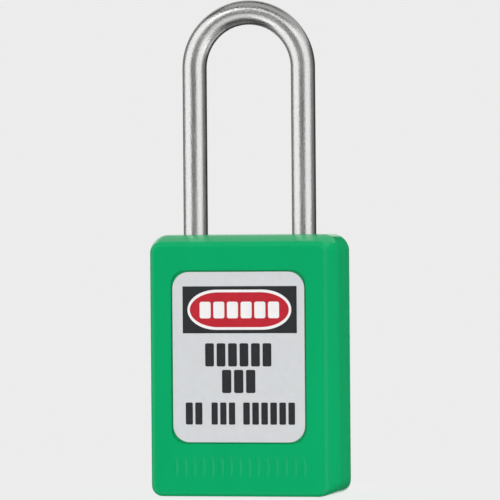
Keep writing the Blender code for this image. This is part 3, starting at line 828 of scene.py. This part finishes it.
def plug(material):
    """Turned core: chamfered nose, warded keyway, pin holes, clip groove, tongue slot."""
    low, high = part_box("plug")
    body_radius = high.x
    nose_radius = 5.0 * MM
    nose_top = 2.3 * MM
    chamfer = 0.3 * MM
    groove_radius = 4.6 * MM
    groove_low = 26.2 * MM
    groove_high = 27.0 * MM
    rim_radius = 5.2 * MM
    keyway_top = 24.6 * MM
    tongue_slot_low = 26.6 * MM
    profile = [
        (0.0, high.z),
        (rim_radius - chamfer, high.z),
        (rim_radius, high.z - chamfer),
        (rim_radius, groove_high),
        (groove_radius, groove_high),
        (groove_radius, groove_low),
        (body_radius - chamfer, groove_low),
        (body_radius, groove_low - chamfer),
        (body_radius, nose_top),
        (nose_radius, nose_top),
        (nose_radius, low.z + chamfer),
        (nose_radius - chamfer, low.z),
        (0.0, low.z),
    ]
    core = object_from("plug_core", turned(profile, sides=80))
    keyway = [
        (-4.2, -0.9), (-2.6, -0.9), (-2.1, -0.35), (-0.9, -0.35), (-0.4, -0.9), (1.2, -0.9),
        (1.7, -0.45), (3.6, -0.45), (3.6, 0.9), (2.6, 0.9), (2.1, 0.3), (1.1, 0.3),
        (0.6, 0.9), (-1.2, 0.9), (-1.7, 0.4), (-2.4, 0.4), (-2.9, 0.9), (-4.2, 0.9),
    ]
    keyway = [(x * MM, y * MM) for x, y in keyway]
    cut(core, prism(keyway, low.z - OVERCUT, keyway_top))
    slot = rounded_rectangle(-3.6 * MM, 3.6 * MM, -1.1 * MM, 1.1 * MM, 0.4 * MM, steps=4)
    cut(core, prism(slot, tongue_slot_low, high.z + OVERCUT))
    bores = bmesh.new()
    bore_radius = 1.35 * MM
    hole_end = 1.2 * MM
    for number in range(1, 7):
        pin_low, pin_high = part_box(f"key_pin_{number}")
        outer = body_radius + OVERCUT
        centre_x = -(outer + hole_end) / 2
        matrix = Matrix.Translation((centre_x, 0.0, (pin_low.z + pin_high.z) / 2))
        bmesh.ops.create_cone(
            bores, cap_ends=True, segments=32, radius1=bore_radius, radius2=bore_radius,
            depth=outer - hole_end, matrix=matrix @ Matrix.Rotation(pi / 2, 4, "Y"),
        )
    cut(core, bores)
    soften(core, 0.06 * MM)
    shade(core)
    return settle(core, material, "plug", "plug_brass", "plug")


# ---------------------------------------------------------------- pieces that keep their CAD mesh

def dress_inner_pieces(metals):
    """New materials on the CAD nodes that stay."""
    finishes = {
        "cylinder_housing": "zinc",
        "latch_housing": "zinc",
        "latch_cover_plate": "zinc",
        "tailpiece": "zinc",
        "chamber_cap": "brass",
        "toe_latch": "nickel_silver",
        "heel_latch": "nickel_silver",
        "plug_retaining_clip": "spring_strip",
        "heel_retaining_clip": "spring_strip",
        "shackle_spring": "spring_wire",
    }
    for number in range(1, 7):
        finishes[f"key_pin_{number}"] = "brass"
        finishes[f"driver_pin_{number}"] = "nickel_silver"
        finishes[f"pin_spring_{number}"] = "spring_wire"
    for node, metal in finishes.items():
        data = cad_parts[node].data
        data.materials.clear()
        data.materials.append(metals[metal])


# ---------------------------------------------------------------- stage

def floor_and_backdrop(material):
    """A wide dish: flat floor that curves up into a wall all round, faces turned inwards."""
    flat_radius = 0.9
    wall_radius = 1.6
    wall_height = 2.4
    curve = wall_radius - flat_radius
    below_base = 0.0002
    sides = 96
    profile = arc((flat_radius, curve), curve, -90, 0, steps=24)
    profile.append((wall_radius, wall_height))
    points = []
    for r, z in profile:
        for index in range(sides):
            angle = 2 * pi * index / sides
            points.append((r * cos(angle), r * sin(angle), z - below_base))
    faces = [tuple(range(sides))]
    for ring in range(len(profile) - 1):
        for index in range(sides):
            inner = ring * sides + index
            beside = ring * sides + (index + 1) % sides
            faces.append((inner, inner + sides, beside + sides, beside))
    mesh = bpy.data.meshes.new("floor_and_backdrop")
    mesh.from_pydata(points, [], faces)
    mesh.shade_smooth()
    stage = bpy.data.objects.new("floor_and_backdrop", mesh)
    bpy.context.collection.objects.link(stage)
    mesh.materials.append(material)
    for ray in ("diffuse", "glossy", "transmission", "shadow"):
        setattr(stage, f"visible_{ray}", False)
    stage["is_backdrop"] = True


def softbox(name, azimuth, elevation, size, radiance, aim, lit):
    """A large soft lamp at an azimuth round the object, 0 in front and 90 to its right."""
    data = bpy.data.lights.new(name, "AREA")
    data.shape = "RECTANGLE"
    data.size, data.size_y = size
    data.energy = pi * radiance * size[0] * size[1]
    lamp = bpy.data.objects.new(name, data)
    a = radians(azimuth)
    e = radians(elevation)
    back = Vector((sin(a) * cos(e), -cos(a) * cos(e), sin(e)))
    lamp.location = aim + back * LAMP_DISTANCE
    lamp.rotation_euler = back.to_track_quat("Z", "Y").to_euler()
    bpy.context.collection.objects.link(lamp)
    lamp.visible_camera = False
    lamp.light_linking.receiver_collection = lit
    return lamp


def studio(aim):
    """Even room light, darker in reflections, and softboxes that light only the object."""
    world = bpy.data.worlds.new("soft_grey_room")
    bpy.context.scene.world = world
    world.use_nodes = True
    tree = world.node_tree
    sky = tree.nodes["Background"]
    sky.inputs["Color"].default_value = (1.0, 1.0, 1.0, 1.0)
    path = tree.nodes.new("ShaderNodeLightPath")
    level = tree.nodes.new("ShaderNodeMapRange")
    level.inputs["To Min"].default_value = ROOM_LIGHT
    level.inputs["To Max"].default_value = ROOM_REFLECTED
    tree.links.new(path.outputs["Is Glossy Ray"], level.inputs["Value"])
    tree.links.new(level.outputs["Result"], sky.inputs["Strength"])
    lit = bpy.data.collections.new("lit_by_softboxes")
    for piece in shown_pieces():
        lit.objects.link(piece)
    for name, azimuth, elevation, size, radiance, surfaces in SOFTBOXES:
        lamp = softbox(name, azimuth, elevation, size, radiance, aim, lit)
        lamp.visible_diffuse = surfaces != "shiny"
        lamp.visible_glossy = surfaces != "matt"


def camera(aim):
    """Long lens, level, a little to the right of the front."""
    azimuth = radians(13.7)
    elevation = radians(0.5)
    distance = 1.0
    roll = radians(-0.45)
    data = bpy.data.cameras.new("camera")
    data.lens = 395.4
    data.sensor_width = 36.0
    view = bpy.data.objects.new("camera", data)
    back = Vector((
        sin(azimuth) * cos(elevation), -cos(azimuth) * cos(elevation), sin(elevation),
    ))
    view.location = aim + back * distance
    turn = back.to_track_quat("Z", "Y") @ Matrix.Rotation(roll, 3, "Z").to_quaternion()
    view.rotation_euler = turn.to_euler()
    data.clip_start = 0.01
    data.clip_end = 20.0
    bpy.context.collection.objects.link(view)
    bpy.context.scene.camera = view


# ---------------------------------------------------------------- the padlock

shackle_low, shackle_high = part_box("shackle")
rod_radius = (shackle_high.y - shackle_low.y) / 2
leg_x = shackle_high.x - rod_radius
crown_z = shackle_high.z - leg_x - rod_radius
toe_end = min(v.co.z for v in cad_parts["shackle"].data.vertices if v.co.x < 0)
rod_sizes = (leg_x, crown_z, toe_end, shackle_low.z, rod_radius)

green = green_plastic()
black = matt_black()
brass = turned_brass("turned_brass")
inks = {
    "silver": printed_film("silver_film", (0.60, 0.615, 0.63), 0.42, 0.02),
    "paper": printed_film("write_on_film", (0.78, 0.78, 0.76), 0.6, 0.02),
    "black": printed_film("black_ink", (0.020, 0.022, 0.025), 0.45, 0.12),
    "white": printed_film("white_ink", (0.82, 0.80, 0.80), 0.45, 0.02),
    "red": printed_film("red_ink", (0.47, 0.015, 0.028), 0.42, 0.06),
}
metals = {
    "zinc": cast_zinc(),
    "brass": turned_brass("pin_brass"),
    "nickel_silver": ground_metal("nickel_silver", (0.60, 0.57, 0.50), 0.3, (0.05, 1.0, 1.0)),
    "spring_strip": ground_metal("spring_strip", (0.34, 0.35, 0.37), 0.35, (0.05, 1.0, 1.0)),
    "spring_wire": ground_metal("spring_wire", (0.36, 0.37, 0.39), 0.3, (1.0, 1.0, 0.3)),
}

legs = [(side * leg_x, rod_radius + LEG_HOLE_CLEARANCE) for side in (-1, 1)]
shell = body_shell(green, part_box("front_label"), legs)
shell.visible_glossy = False  # reflections leave the body out
bottom_cover(black)
shackle(steel_rod(leg_x, crown_z), rod_sizes)
front_label(inks)
rear_label(inks)
plug(brass)
dress_inner_pieces(metals)

camera_aim = Vector((0.0, 0.0, 0.04453))
light_aim = Vector((0.0, 0.0, 0.048))
floor_and_backdrop(pale_floor())
studio(light_aim)
camera(camera_aim)
bpy.context.scene.view_settings.view_transform = "Standard"
